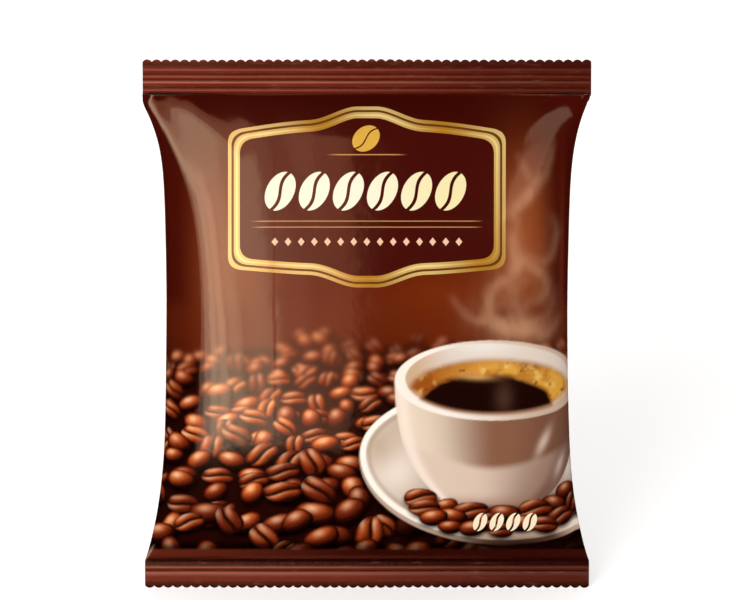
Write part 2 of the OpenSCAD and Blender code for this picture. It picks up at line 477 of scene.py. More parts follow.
def paint_background(u, v):
    """Brown ground and warm glows, with painted light: shade under the top seal and along the sides,
    highlights left of the label and near the right edge.
    """
    return coats(
        # painted shade: the ground darkens under the top seal, where the film turns away
        mix(ink(78, 18, 4), ink(54, 7, 3), ease(128, 162, v)),
        ((108, 38, 6), 0.9 * blob(u, v, 26, 96, 26, 15)),
        ((136, 66, 28), 0.85 * blob(u, v, 52, 118, 11, 26)),
        # a printed warm glow, partly a painted highlight left of the label
        ((126, 62, 28), 0.55 * blob(u, v, -46, 108, 13, 30)),
        # painted shade along both sides, where the film turns towards the folds
        ((60, 9, 3), 0.9 * ease(55, 65, np.abs(u)) * (u < SIDE_FOLD_U + 8)),
        # a thin painted highlight near the right edge
        ((120, 48, 26), 0.5 * blob(u, v, 66.5, 112, 0.8, 26)),
        ((66, 14, 6), 0.75 * ease(SIDE_FOLD_U, SIDE_FOLD_U + 14, u)),
    )


# Wisps of steam as (u, v) points on the print, half width at the start and the end, and strength.
WISPS = (
    (((53, 86), (47, 87.5), (42, 91), (40, 96), (42, 101), (45.5, 104), (48.5, 101.5), (49.5, 99.5)),
     2.0, 1.0, 0.62),
    (((56, 87), (50, 88), (44, 89.5), (38, 91.5)), 2.6, 1.4, 0.55),
    (((50, 87), (41, 89.5), (35, 91), (31, 95), (27.5, 99.5)), 1.6, 0.5, 0.40),
    (((53, 87), (49, 90), (46.5, 93), (43.5, 96)), 1.0, 0.5, 0.45),
    (((54, 88), (58.5, 92), (62, 96.5), (63.8, 102)), 1.5, 0.9, 0.26),
    (((57, 96), (59.5, 100), (59, 105), (55.5, 108.5), (51, 111), (48, 106), (45, 104)), 1.1, 1.4, 0.40),
    (((47, 105), (49.5, 111), (48.2, 117.5), (49, 123), (51.5, 128.5), (55.8, 133)), 1.8, 1.5, 0.50),
    (((51, 128), (55.8, 133), (59, 138), (60.8, 144), (63, 151)), 1.7, 0.6, 0.50),
    (((50.5, 146), (53.5, 140), (56.3, 135.5)), 0.6, 0.9, 0.34),
    (((53.5, 113), (59, 110.5), (62.7, 114.5), (64.2, 120.5), (62, 126)), 1.0, 1.2, 0.20),
    (((52, 104), (54, 98), (51, 93), (53, 89)), 0.8, 1.0, 0.26),
    (((57, 86), (62, 88), (66, 92)), 1.4, 0.7, 0.22),
)


def paint_steam(colour, u, v):
    """Translucent wisps that rise and curl from the cup."""
    wander = 2.6 * (value_noise(u + 300, v + 300, 12, 50) - 0.5)
    near = (u > 18) & (u < 74) & (v > 80) & (v < 162)
    pu, pv = u[near] + wander[near], v[near] - wander[near]
    clear = np.ones_like(pu)
    for points, start, end, strength in WISPS:
        path = smooth_path(points)
        best = np.zeros_like(pu)
        for share, (at_u, at_v) in zip(np.linspace(0, 1, len(path)), path):
            width = start + (end - start) * share
            fade = math.sin(math.pi * (0.12 + 0.88 * share)) ** 0.6
            best = np.maximum(best, fade * blob(pu, pv, at_u, at_v, width, width))
        clear = clear * (1 - strength * best)
    full = np.zeros_like(u)
    full[near] = 1 - clear
    full = soften(full, (1, 2, 3, 4, 3, 2))
    full = full + 0.272 * (blob(u, v, 49, 91, 12, 8) + blob(u, v, 51.5, 87, 7, 3))
    full = full + 0.128 * blob(u, v, 50, 108, 9, 16)
    hollow = 0.8 * (blob(u, v, 46, 93, 2.6, 2.8) + blob(u, v, 54, 100.4, 2.8, 4))
    hollow = hollow + 0.6 * blob(u, v, 56, 121.5, 3.4, 7) + 0.8 * blob(u, v, 57.5, 94, 4, 3)
    streaks = 0.3 + 1.4 * value_noise(u * 1.3 + 40, v * 0.7, 4.5, 80)
    full = np.clip(full * streaks * (1 - hollow), 0, 2)
    return mix(colour, ink(210, 160, 122), 0.58 * (1 - np.exp(-1.35 * full)))


def bean_size(v):
    """Length of a bean: larger towards the bottom, where the picture is nearer."""
    return 13.4 - 6.2 * ease(8, 92, v)


BEAN_TONES = (
    (0.00, ink(14, 2, 1)),
    (0.22, ink(44, 9, 3)),
    (0.46, ink(104, 33, 10)),
    (0.70, ink(166, 74, 28)),
    (0.95, ink(216, 130, 72)),
    (1.25, ink(250, 194, 146)),
)


def bean_tone(light):
    """Roasted colours from the shadow side to the lit side."""
    stops, tones = zip(*BEAN_TONES)
    return np.stack([np.interp(light, stops, [tone[k] for tone in tones]) for k in range(3)], -1)


def dome_light(nx, ny, c, s):
    """Light on a bulging surface from above and a little to the left: (matt, shiny)."""
    nz = np.sqrt(np.clip(1 - nx**2 - ny**2, 0.02, 1))
    right, up = nx * c - ny * s, nx * s + ny * c
    matt = np.clip(-0.30 * right + 0.62 * up + 0.72 * nz, 0, 1)
    shiny = np.clip(-0.22 * right + 0.44 * up + 0.87 * nz, 0, 1) ** 22
    return matt, shiny


# Beans on the saucer as (u, v, length, lean in degrees, shows its crease, brightness), far ones first.
SAUCER_BEANS = (
    (68.5, 33.2, 9.0, 40, False, 0.52),
    (17.8, 30.8, 9.8, 8, True, 0.72),
    (72.0, 29.4, 8.0, 60, True, 0.50),
    (64.0, 28.8, 8.6, -20, False, 0.52),
    (26.6, 28.0, 7.6, 15, False, 0.70),
    (19.6, 27.2, 9.6, -6, True, 0.66),
    (56.4, 26.8, 10.6, 12, True, 0.62),
    (35.0, 26.2, 10.2, 6, True, 0.66),
    (46.4, 25.4, 9.4, -8, False, 0.58),
    (66.4, 24.6, 9.4, 24, True, 0.55),
    (28.8, 24.4, 8.6, -15, False, 0.72),
    (40.6, 22.8, 8.2, 10, True, 0.62),
    (22.4, 24.0, 8.6, 10, False, 0.75),
    (52.4, 22.2, 8.6, 4, False, 0.62),
    (60.0, 21.6, 8.8, -12, True, 0.58),
    (28.0, 20.8, 7.2, 0, False, 0.66),
    (35.6, 20.4, 8.4, 12, False, 0.66),
    (45.0, 19.6, 7.6, -5, True, 0.56),
)


def within(distance, soft):
    """1 where a signed distance is negative and 0 outside, with an edge as wide as twice soft."""
    return 1 - ease(-soft, soft, distance)


class Picture:
    """The paper's colours as a raster, painted from back to front."""

    def __init__(self):
        self.u, self.v = np.meshgrid(PAPER_U, PAPER_V)
        self.colour = paint_background(self.u, self.v)

    def lay(self, colour, cover):
        self.colour = mix(self.colour, colour, cover)

    def darken(self, share):
        self.colour = self.colour * (1 - share)[..., None]

    def ellipse(self, u0, v0, a, b):
        """Signed distance to an ellipse, good near its edge: negative inside."""
        k = np.hypot((self.u - u0) / a, (self.v - v0) / b)
        slope = np.hypot((self.u - u0) / a**2, (self.v - v0) / b**2)
        return (k - 1) * k / np.maximum(slope, 1e-6)

    def window(self, u0, v0, reach):
        """Slices of the raster that hold everything within reach of a point."""
        ends = [
            (int((at - reach) / PAPER_STEP), int((at + reach) / PAPER_STEP) + 2)
            for at in (v0 - PAPER_LOW, u0 - PAPER_LEFT)
        ]
        return tuple(slice(max(0, first), max(0, last)) for first, last in ends)

    def bean(self, u0, v0, size, angle, creased, tone, warm):
        """One roasted bean: a shadow round it, then its back, or its two halves and the crease."""
        where = self.window(u0, v0, size)
        u, v = self.u[where] - u0, self.v[where] - v0
        if u.size == 0:
            return
        c, s = math.cos(angle), math.sin(angle)
        tall = v / 0.76
        x, y = (u * c + tall * s) / (0.5 * size), (tall * c - u * s) / (0.35 * size)
        down = tall + 0.13 * size
        shadow = np.hypot((u * c + down * s) / (0.60 * size), (down * c - u * s) / (0.46 * size))
        patch = self.colour[where] * (1 - 0.92 * (1 - ease(0.5, 1.05, shadow)))[..., None]
        r = np.sqrt(np.abs(x) ** 2.2 + np.abs(y) ** 2.2) * (1 + 0.05 * np.sin(3 * np.arctan2(y, x) + u0))
        if creased:
            gap = y - 0.20 * np.sin(2.4 * x + 0.5)
            matt, shiny = dome_light(0.62 * x, 1.5 * (gap - 0.44 * np.sign(gap)), c, s)
            light = 0.10 + 0.84 * matt
        else:
            matt, shiny = dome_light(0.94 * x / np.maximum(r, 1), 0.94 * y / np.maximum(r, 1), c, s)
            light = 0.96 * matt
        grain = value_noise(u * c + v * s + u0 * 7, (v * c - u * s) * 3 + v0 * 5, 0.9, 11, 2)
        light = light * tone * (0.88 + 0.24 * grain)
        body = bean_tone(light * (1 - 0.45 * ease(0.70, 1.0, r)))
        glint = np.clip(0.55 * tone * shiny * (0.7 if creased else 1), 0, 1)
        body = mix(body, ink(255, 218, 178), glint)
        if creased:
            width = 0.10 + 0.05 * np.cos(2.2 * x)
            line = 1 - ease(width * 0.5, width * 1.7, np.abs(gap))
            line = line * (1 - ease(0.80, 0.98, np.abs(x)))
            body = mix(body, ink(30, 7, 3), 0.95 * line)
        body = body * np.array([1, 1 - 0.14 * warm, 1 - 0.34 * warm])
        self.colour[where] = mix(patch, body, within(r - 1, 0.30 / size))

    def crest(self, u):
        """Height of the far edge of the bean pile."""
        u = np.asarray(u, float)
        return 83.5 + 4.5 * blob(u, 0, -16, 0, 9, 1) - 3 * blob(u, 0, -58, 0, 18, 1)

    def bean_field(self):
        """Rows of beans from the far edge of the pile down to the bottom of the print."""
        self.lay(ink(24, 4, 2), 0.94 * ease(0, -3, self.v - self.crest(self.u)))
        draw = np.random.default_rng(21)
        v = 91.0
        while v > 2:
            size = bean_size(v)
            u = PAPER_LEFT + draw.uniform(-size, 0)
            while u < PAPER_RIGHT + size:
                at_v = v + draw.uniform(-0.34, 0.34) * size
                grown = size * draw.uniform(0.84, 1.14)
                angle = draw.normal(0.0, 0.8) if draw.random() < 0.7 else draw.uniform(0, np.pi)
                creased = draw.random() < 0.38
                tone, warm = draw.uniform(0.68, 1.08), draw.uniform(0, 1)
                if at_v < self.crest(u) + draw.uniform(-2, 1):
                    lit = 0.80 + 0.26 * blob(u, at_v, -34, 56, 34, 26)
                    lit = lit - 0.34 * ease(30, 50, u) * (at_v < 40) * (u < SIDE_FOLD_U)
                    self.bean(u, at_v, grown, angle, creased, tone * lit, warm)
                u += size * draw.uniform(0.82, 1.12)
            v -= size * 0.43

    def soften_far(self):
        """Blurs the far beans and veils them in warm haze, as a lens does."""
        v = self.v
        soft = soften(self.colour, (1, 2, 1, 2))
        self.lay(soft, ease(54, 76, v))
        self.lay(soften(soft, (3, 3)), ease(70, 86, v))
        self.lay(ink(90, 30, 8), 0.45 * ease(70, 90, v) * (1 - ease(92, 100, v)))

    def saucer(self):
        u, v = self.u, self.v
        u0, v0, a = 46.0, 44.7, 48.6
        b = np.where(v < v0, 30.1, 24.0)
        self.darken(0.8 * (1 - ease(-5, 2.5, self.ellipse(u0, v0 - 2.0, a + 2.0, b + 2.0))))
        china = mix(ink(176, 150, 130), ink(88, 60, 46), ease(14, 44, u) * ease(74, 62, u))
        self.lay(china, within(self.ellipse(u0, v0, a, b), 0.15))
        d = self.ellipse(u0, v0 + 1.1, a - 0.3, b - 0.6)
        china = coats(
            mix(ink(198, 178, 158), ink(158, 134, 118), ease(0, 34, u + 3)),
            ((222, 206, 192), blob(u, v, 9, 40, 10, 9)),
            ((180, 156, 134), 0.8 * blob(u, v, 4, 48, 6, 7)),
            ((214, 202, 194), 0.8 * blob(u, v, 70, 42, 5, 5)),
        )
        bright = mix(ink(240, 230, 218), ink(178, 152, 130), ease(16, 42, u) * ease(80, 62, u))
        china = mix(china, bright, 0.95 * ease(-2.3, -1.6, d))
        china = mix(china, ink(150, 126, 110), 0.45 * np.exp(-(((d + 3.0) / 0.7) ** 2)))
        self.lay(china, within(d, 0.15))

    def saucer_beans(self):
        """Darker beans heaped on the saucer in front of the cup."""
        well = self.ellipse(46, 47.2, 45.5, 28.6)
        top = 27.6 + 4.4 * ease(14, 21, np.abs(self.u - 42))
        heap = ease(0.4, -0.8, well) * ease(1.2, -1.2, self.v - top) * ease(15, 19, self.u)
        self.lay(ink(30, 8, 5), 0.92 * heap)
        for u, v, size, angle, creased, tone in SAUCER_BEANS:
            self.bean(u, v, 1.16 * size, math.radians(angle), creased, 1.1 * tone, 0.7)

    def cup(self):
        """The outside of the cup: (middle, height and half width of its rim)."""
        u, v = self.u, self.v
        u0, rim_v, a = 42.3, 70.2, 33.0
        base_v, base_half = 30.6, 18.6
        down = np.clip((rim_v - v) / (rim_v - base_v), 0, 1)
        profile = a - (a - base_half) * down**3.2 - 0.8 * ease(0, 0.5, down)
        foot = self.ellipse(u0, base_v + 3.2, base_half + 3, 6.6)
        side = np.abs(u - u0) - profile
        body = np.where(v > base_v + 3.2, side, np.maximum(foot, side))
        turn = np.clip((u - u0) / np.maximum(profile, 1), -1, 1)
        bounce_v = 40.6 + 10.5 * np.abs(turn + 0.02) ** 2.0
        bounce = mix(ink(206, 182, 164), ink(142, 112, 96), ease(-0.3, 0.75, turn))
        china = mix(ink(212, 192, 170), ink(126, 84, 62), ease(-0.8, 0.05, turn))
        china = mix(china, ink(104, 66, 50), 0.7 * ease(0.15, 0.6, turn))
        china = mix(china, bounce, 0.95 * (1 - ease(-1.6, 1.8, v - bounce_v)))
        lean = u - 0.42 * (v - 50)
        china = coats(
            china,
            ((136, 96, 76), 0.8 * (1 - ease(26.5, 33.0, v))),
            ((232, 214, 198), 0.8 * np.exp(-(((turn + 0.93) / 0.08) ** 2))),
            ((196, 170, 154), 0.85 * blob(lean, v, 59.5, 49.5, 1.5, 4.5)),
            ((98, 66, 52), 0.75 * ease(0.66, 0.86, turn)),
            ((178, 156, 142), 0.8 * blob(lean, v, 69.0, 42, 1.4, 4)),
        )
        self.lay(china, within(body, 0.2) * (v < rim_v))
        return u0, rim_v, a

    def rim_and_wall(self, u0, rim_v, a):
        """The cup's rim and inner wall. Returns the signed distance to the wall's outline."""
        u, v = self.u, self.v
        inner = self.ellipse(u0, rim_v + 0.6, a - 3.6, 11.8)
        rim = mix(ink(232, 220, 206), ink(186, 160, 140), ease(24, 62, u))
        rim = mix(rim, ink(198, 172, 152), 0.6 * ease(80, 84, v))
        wall = mix(ink(190, 158, 124), ink(206, 190, 176), ease(14, 30, u))
        wall = mix(wall, ink(224, 218, 212), 0.8 * blob(u, v, 40, 83, 12, 4))
        self.lay(rim, within(self.ellipse(u0, rim_v, a, 13.5), 0.15))
        self.lay(wall, within(inner, 0.25))
        return inner

    def drink(self, u0, rim_v, a, inner):
        """Golden froth against the cup's wall, and the black coffee that it parts from."""
        u, v = self.u, self.v
        surface = np.maximum(self.ellipse(u0 + 0.6, rim_v - 3.0, a - 4.2, 10.4), inner + 0.2)
        froth = coats(
            mix(ink(152, 78, 18), ink(204, 146, 56), ease(16, 46, u)),
            ((132, 64, 14), 0.6 * ease(0.45, 0.7, value_noise(u, v, 6, 33))),
            ((232, 194, 112), 0.55 * ease(0.54, 0.78, value_noise(u, v, 3, 35))),
            ((150, 92, 44), 0.5 * ease(-3, 0, surface)),
            ((96, 40, 10), 0.8 * ease(0.66, 0.78, value_noise(u + 9, v, 1.6, 39))),
        )
        self.lay(froth, 1 - ease(-1.6, 1.2, surface))
        swirl = 3.6 * (value_noise(u, v, 8, 44) - 0.5)
        dark = np.maximum(self.ellipse(40.2, 62.3, 22.0, 9.2) + swirl, inner + 0.35)
        self.lay(ink(120, 62, 20), 0.7 * (1 - ease(0.2, 1.6, dark)))
        coffee = mix(ink(24, 5, 3), ink(84, 54, 42), 0.55 * blob(u, v, 46, 64.5, 3, 5))
        self.lay(coffee, 1 - ease(-0.8, 0.6, dark))
        self.lay(ink(196, 144, 84), 0.8 * blob(u + 1.2 * (v - 71), v, 37, 71.4, 5.5, 1.1))

    def bottom_band(self):
        """Painted shade along the bottom of the print, where the film turns down into the seal, with a
        strip painted lighter on the left.
        """
        u, v = self.u, self.v
        # painted shade, growing towards the seal
        self.darken(0.8 * ease(17.0, 13.6, v))
        # darker towards the bottom right corner
        corner = ease(30, 55, u) * ease(20, 13, v) * (u < SIDE_FOLD_U)
        self.lay(ink(18, 3, 2), 0.85 * corner)
        # a brown strip, painted lighter on the left as a painted highlight
        self.lay(mix(ink(88, 32, 18), ink(50, 10, 5), ease(-60, 10, u)), 1 - ease(12.6, 13.6, v))
        # painted shade in the crease at the seal's root
        self.lay(ink(26, 3, 2), 1 - ease(9.0, 11.4, v))

    def paint(self):
        self.bean_field()
        self.soften_far()
        self.saucer()
        rim = self.cup()
        self.drink(*rim, self.rim_and_wall(*rim))
        self.saucer_beans()
        self.colour = paint_steam(self.colour, self.u, self.v)
        self.bottom_band()
        return self

    def sample(self, u, v):
        """Colours at print positions, read between the raster's points."""
        x = np.clip((u - PAPER_LEFT) / PAPER_STEP, 0, len(PAPER_U) - 1.001)
        y = np.clip((v - PAPER_LOW) / PAPER_STEP, 0, len(PAPER_V) - 1.001)
        x0, y0 = x.astype(int), y.astype(int)
        c = self.colour
        near, far = (mix(c[row, x0], c[row, x0 + 1], x - x0) for row in (y0, y0 + 1))
        return mix(near, far, y - y0)


# ---- meshes

def set_attribute(mesh, name, values):
    """Writes a point attribute: colours for ink (print with its painted shade and highlights), and vectors
    for everything else.
    """
    kind, field, size = ("FLOAT_COLOR", "color", 4) if name == "ink" else ("FLOAT_VECTOR", "vector", 3)
    full = np.ones((len(values), size), np.float32)
    full[:, :3] = values
    mesh.attributes.new(name, kind, "POINT").data.foreach_set(field, full.ravel())


def make_object(name, points, quads, others=(), normals=None, materials=(), fields=None, lined=None):
    """A smooth mesh object from quads and a few longer faces. lined marks the quads of the second
    material."""
    mesh = bpy.data.meshes.new(name)
    sizes = np.array([4] * len(quads) + [len(face) for face in others])
    corners = np.concatenate([quads.ravel(), *others])
    mesh.vertices.add(len(points))
    mesh.loops.add(len(corners))
    mesh.polygons.add(len(sizes))
    mesh.vertices.foreach_set("co", points.astype(np.float32).ravel())
    mesh.loops.foreach_set("vertex_index", corners.astype(np.int32))
    mesh.polygons.foreach_set("loop_start", (np.cumsum(sizes) - sizes).astype(np.int32))
    if lined is not None:
        mesh.polygons.foreach_set("material_index", lined.astype(np.int32))
    mesh.update(calc_edges=True)
    for field, values in (fields or {}).items():
        set_attribute(mesh, field, values)
    mesh.shade_smooth()
    if normals is not None:
        mesh.normals_split_custom_set_from_vertices(normals.astype(np.float32).tolist())
    for material in materials:
        mesh.materials.append(material)
    return add_object(name, mesh)


def grid_quads(index, flip=False):
    """Quads of a grid of point numbers, wound to face the grid's outward side unless flipped."""
    a, b, c, d = index[:-1, :-1], index[:-1, 1:], index[1:, 1:], index[1:, :-1]
    return np.stack((a, d, c, b) if flip else (a, b, c, d), -1).reshape(-1, 4)


def shell(name, grid, normals, materials, fields=None, coarse=1, thickness=FILM):
    """A closed sheet of film: the grid outside, a coarser copy one thickness in, and a rim.

    coarse is how many steps of the outer grid one step of the inner grid takes. The outer side has
    the first material, and the inner side and the rim have the second.
    """

    def both(outer, inner):
        """Point values of the outer grid, then those of the inner grid."""
        return np.concatenate([outer.reshape(-1, outer.shape[2]), inner.reshape(-1, inner.shape[2])])

    sparse = (slice(None, None, coarse), slice(None, None, coarse))
    inner = (grid - normals * thickness)[sparse]
    index = np.arange(grid[..., 0].size).reshape(grid.shape[:2])
    under = index.size + np.arange(inner[..., 0].size).reshape(inner.shape[:2])
    outer_quads, inner_quads = grid_quads(index), grid_quads(under, flip=True)
    others = []
    for side, flip in ((np.s_[0], True), (np.s_[-1], False), (np.s_[:, 0], False), (np.s_[:, -1], True)):
        edge, inner_edge = index[side], under[side]
        for k in range(len(inner_edge) - 1):
            fine = edge[k * coarse : (k + 1) * coarse + 1][::-1]
            face = np.concatenate([inner_edge[k : k + 2], fine])
            others.append(face if flip else face[::-1])
    lined = np.arange(len(outer_quads) + len(inner_quads) + len(others)) >= len(outer_quads)
    full = {field: both(values, values[sparse]) for field, values in (fields or {}).items()}
    quads = np.concatenate([outer_quads, inner_quads])
    both_normals = both(normals, -normals[sparse])
    return make_object(name, both(grid, inner), quads, others, both_normals, materials, full, lined)


# ---- the film's pieces

FRONT_FINENESS = 6         # mesh steps for each step of the cloth, on the printed front
BACK_FINENESS = 4


def smooth_join(a, b, width):
    """The larger of two values, with the corner between them rounded."""
    share = np.clip(0.5 + 0.5 * (a - b) / width, 0, 1)
    return b * (1 - share) + a * share + width * share * (1 - share)


def label_edge(u, middle, shoulder, corner):
    """Height of the label's top or bottom edge, and the cosine of its slope."""

    def height(x):
        ramp = ease(3.0, 19.5, np.abs(x))
        fall = np.clip((np.abs(x) - 18) / 26, 0, 1) ** 1.4
        return middle + (shoulder - middle) * ramp + (corner - shoulder) * fall

    slope = (height(u + 0.1) - height(u - 0.1)) / 0.2
    return height(u), 1 / np.sqrt(1 + slope**2)


def label_depth(u, v):
    """Distance inside the label's outline, in millimetres: negative outside."""
    top, top_lean = label_edge(u, 161.9, 157.4, 154.2)
    bottom, bottom_lean = label_edge(u, 101.4, 105.6, 107.6)
    out = smooth_join((v - top) * top_lean, (bottom - v) * bottom_lean, 2.0)
    return -smooth_join(out, np.abs(u) - 46.4, 4.5)


class Film:
    """The inflated tube cut into the pouch's panels, with the print laid on it."""

    def __init__(self, tube, picture):
        self.tube = tube
        self.picture = picture
        self.places = print_places(tube)

    def section(self, first, last, fineness):
        """A finer grid, its normals and its print places, from column first to column last."""
        tube = self.tube
        grid = refine(tube.points, fineness, fineness, wrap=True)
        normals = grid_normals(grid, wrap=True)
        if first < HALF_COLUMNS:
            grid = grid + normals * crease_heights(grid)[..., None]
            normals = grid_normals(grid, wrap=True)
        rows = slice(PINNED_ROWS * fineness, (PINNED_ROWS + tube.up) * fineness + 1)
        columns = np.arange(first * fineness, last * fineness + 1)
        wrapped = columns % grid.shape[1]
        places = refine(self.places, fineness, fineness)[rows, columns]
        return grid[rows][:, wrapped], normals[rows][:, wrapped], places

    def print_fields(self, places):
        u, v = places[..., 0], places[..., 1]
        return {
            # the printed picture together with its painted shade and highlights
            "ink": self.picture.sample(u, v),
            "print": np.stack([u, v, label_depth(u, v)], 2),
        }

    def panel(self, name, first, last, fineness, coarse, materials):
        grid, normals, places = self.section(first, last, fineness)
        return shell(name, grid, normals, materials, self.print_fields(places), coarse)


def print_places(tube):
    """Print position of every point of the tube, with the left fold once more at the end.

    The print lies on the swollen film as the camera's height shows it, so it looks undistorted
    there, and each pleat and crease then bends it.
    """
    settled = tube.target + tube.swell
    settled = np.concatenate([settled, settled[:, :1]], 1)
    x, y, z = settled[..., 0], settled[..., 1], settled[..., 2]
    around = np.linspace(0, 2 * WIDTH, tube.around + 1)[None, :]
    from_middle = around - WIDTH / 2
    past_fold = 3 * MM * ease(0.062, 0.075, np.abs(from_middle)) * np.sign(from_middle)
    u_front = (x + past_fold) / MM
    u_back = u_front[:, HALF_COLUMNS : HALF_COLUMNS + 1] + (around - WIDTH) / MM * 0.98
    front = np.arange(tube.around + 1)[None, :] <= HALF_COLUMNS
    u = np.where(front, u_front, u_back)
    v = (z * math.cos(TILT) + np.where(front, y, 0) * math.sin(TILT)) / MM
    return np.stack([u, v], 2)


# ---- the fin down the back

FIN_FINENESS = 8
FIN_TUCK = 0.45 * MM       # how far the outer ply reaches past the fin's fold
FIN_LIFT = 0.5 * MM        # how far the fin's free edge stands off the back
FIN_CRIMP = 0.07 * MM
FIN_CRIMP_PITCH = 1.5 * MM


def fin_ply(name, film, level, materials):
    """One ply of the fin, folded over onto the right of the back. Level 1 is the outer ply."""
    middle = HALF_COLUMNS + HALF_COLUMNS // 2
    reach = int(math.ceil(FIN_WIDTH / FILM_STEP)) + 1
    grid, normals, places = film.section(middle - reach, middle + 1, FIN_FINENESS)
    across = np.linspace(-FIN_TUCK * level, FIN_WIDTH, 25)[::-1]
    columns = (reach - across / FILM_STEP) * FIN_FINENESS
    base = np.floor(columns).astype(int)
    share = (columns - base)[None, :, None]

    def at_columns(values):
        return values[:, base] * (1 - share) + values[:, base + 1] * share

    grid, normals, places = at_columns(grid), at_columns(normals), at_columns(places)
    rise = FILM * (1 + level) + 0.03 * MM
    from_fold = across[None, :]
    ramp = ease(-FIN_TUCK, 0.35 * MM, from_fold) if level else np.ones_like(from_fold)
    height = grid[..., 2] - BOTTOM_ROOT
    to_seal = np.minimum(height, TOP_ROOT - BOTTOM_ROOT - height)
    free = ease(0, 12 * MM, to_seal) * (from_fold / FIN_WIDTH) ** 3
    wave = 0.6 + 0.4 * np.sin(height / (17 * MM) + 1.0) * np.sin(height / (7.3 * MM))
    crimp = FIN_CRIMP * np.cos(2 * np.pi * height / FIN_CRIMP_PITCH)
    crimp = crimp * ease(0.8 * MM, 1.6 * MM, from_fold)
    crimp = crimp * ease(0.4 * MM, 1.0 * MM, FIN_WIDTH - from_fold)
    grid = grid + normals * (rise * ramp + FIN_LIFT * free * wave + crimp)[..., None]
    return shell(name, grid, grid_normals(grid), materials, film.print_fields(places))


# ---- crimped end seals

TOOTH_COUNT = 48
TOOTH_DEPTH = 0.95 * MM
STEPS_PER_TOOTH = 8
BEAD = 0.16 * MM           # fold of the film at a seal's root, on the fold's axis
LAND = 0.9 * MM            # plain film between the ribs and the teeth
RIB_HEIGHT = 0.3 * MM
RIB_FALL = 0.7 * MM        # height over which a rib drops back above its crest
TOP_RIBS = (1.4 * MM, 4.5 * MM, 6.5 * MM, 9.1 * MM)
BOTTOM_RIBS = (-4.3 * MM, -2.3 * MM)


def rib_share(height, lowest, ribs):
    """The crimp's saw-tooth: 1 on a rib's crest and 0 in the notch above it.

    height is measured up from the seal's root, so it is negative on the bottom seal. The film
    leans out a little on the way up to each crest.
    """
    share = np.zeros_like(height)
    start = lowest
    for crest in ribs:
        rise = np.clip((height - start) / (crest - start), 0, 1)
        fall = 1 - ease(crest, crest + RIB_FALL, height)
        share = np.maximum(share, np.where(height <= crest, rise, fall) * (height >= start))
        start = crest + RIB_FALL
    return share


def seal_rows(length, x):
    """Distance of a seal's points from its root and from the middle plane: bead, ribs, then teeth."""
    turn = np.linspace(np.pi / 2, 0, 5)
    flat = np.arange(0.3 * MM, length - TOOTH_DEPTH - LAND, 0.18 * MM)
    inner = np.concatenate([-BEAD * np.sin(turn), flat])
    tooth = np.abs(np.sin(np.pi * x / (WIDTH / TOOTH_COUNT))) ** 0.75
    edge = length - TOOTH_DEPTH * (1 - tooth)
    outer = inner[-1] + (edge - inner[-1]) * np.linspace(0, 1, 9)[1:, None]
    distance = np.concatenate([inner[:, None] + 0 * x, outer])
    away = np.full_like(distance, FILM)
    away[: len(turn)] = BEAD * np.cos(turn)[:, None]
    return distance, away


def seal_colour(x, distance, length, share, crest, colours):
    """Colours of a seal from its land, notches and crests: painted shade in the notches, a painted
    highlight on the crests, all painted lighter on the left where the light falls, and the land darker
    near the cut edge.
    """
    # painted light: lighter on the left, darker towards the right
    wear_and_side_light = 1.0 - 0.45 * ease(-0.2, 0.45, x / WIDTH)
    cut_edge = 1 - 0.4 * ease(length - 3.2 * MM, length - 2.0 * MM, distance)
    land = colours[0] * (wear_and_side_light * cut_edge)[..., None]
    # painted shade in the notches between the ribs
    colour = mix(colours[1], land, ease(0.0, 0.45, share))
    # a painted highlight along the rib crests
    return mix(colour, colours[2] * wear_and_side_light[None, :, None] ** 2, 0.8 * crest)


def seal_ply(name, side, root, up, ribs, colours, materials):
    """One ply of an end seal. side is -1 for the front, up is 1 for the top seal."""
    length = (HEIGHT - root) if up > 0 else root
    x = np.linspace(-WIDTH / 2, WIDTH / 2, TOOTH_COUNT * STEPS_PER_TOOTH + 1)
    distance, away = seal_rows(length, x)
    height = up * distance
    share = rib_share(height, min(0, up * length), ribs)
    # where the painted highlight lies: along the rib crests, on the top seal brightest at its second rib
    crest = np.exp(-(((share - 1) / 0.16) ** 2)) * (distance > 0.5 * MM)
    if up > 0:
        crest = crest * (0.4 + 0.6 * np.exp(-(((height - ribs[1]) / (1.5 * MM)) ** 2)))
        share = np.maximum(share, 0.9 * ease(ribs[-1] + RIB_FALL, length, height))
    sag = 0.10 * MM * np.sin(x / (21 * MM) + 0.7) * np.sin(x / (9 * MM) + up)
    sag = sag * ease(1.5 * MM, 5 * MM, distance)
    y = side * away - RIB_HEIGHT * share * (distance > 0.2 * MM) + sag
    if side > 0:
        caught = ease(-0.3 * MM, 0.1 * MM, x) * (1 - ease(0, 0.3 * MM, x - FIN_WIDTH))
        y = y + 2 * FILM * caught * ease(0, 0.4 * MM, distance)
    grid = np.stack([np.broadcast_to(x, distance.shape), y, root + height], 2)
    colour = seal_colour(x, distance, length, share, crest, colours)
    if side * up > 0:
        grid, colour = grid[:, ::-1], colour[:, ::-1]
    # the ink attribute holds the seal's colour with its painted shade and highlights
    return shell(name, grid, grid_normals(grid), materials, {"ink": colour})


# ---- the coffee inside

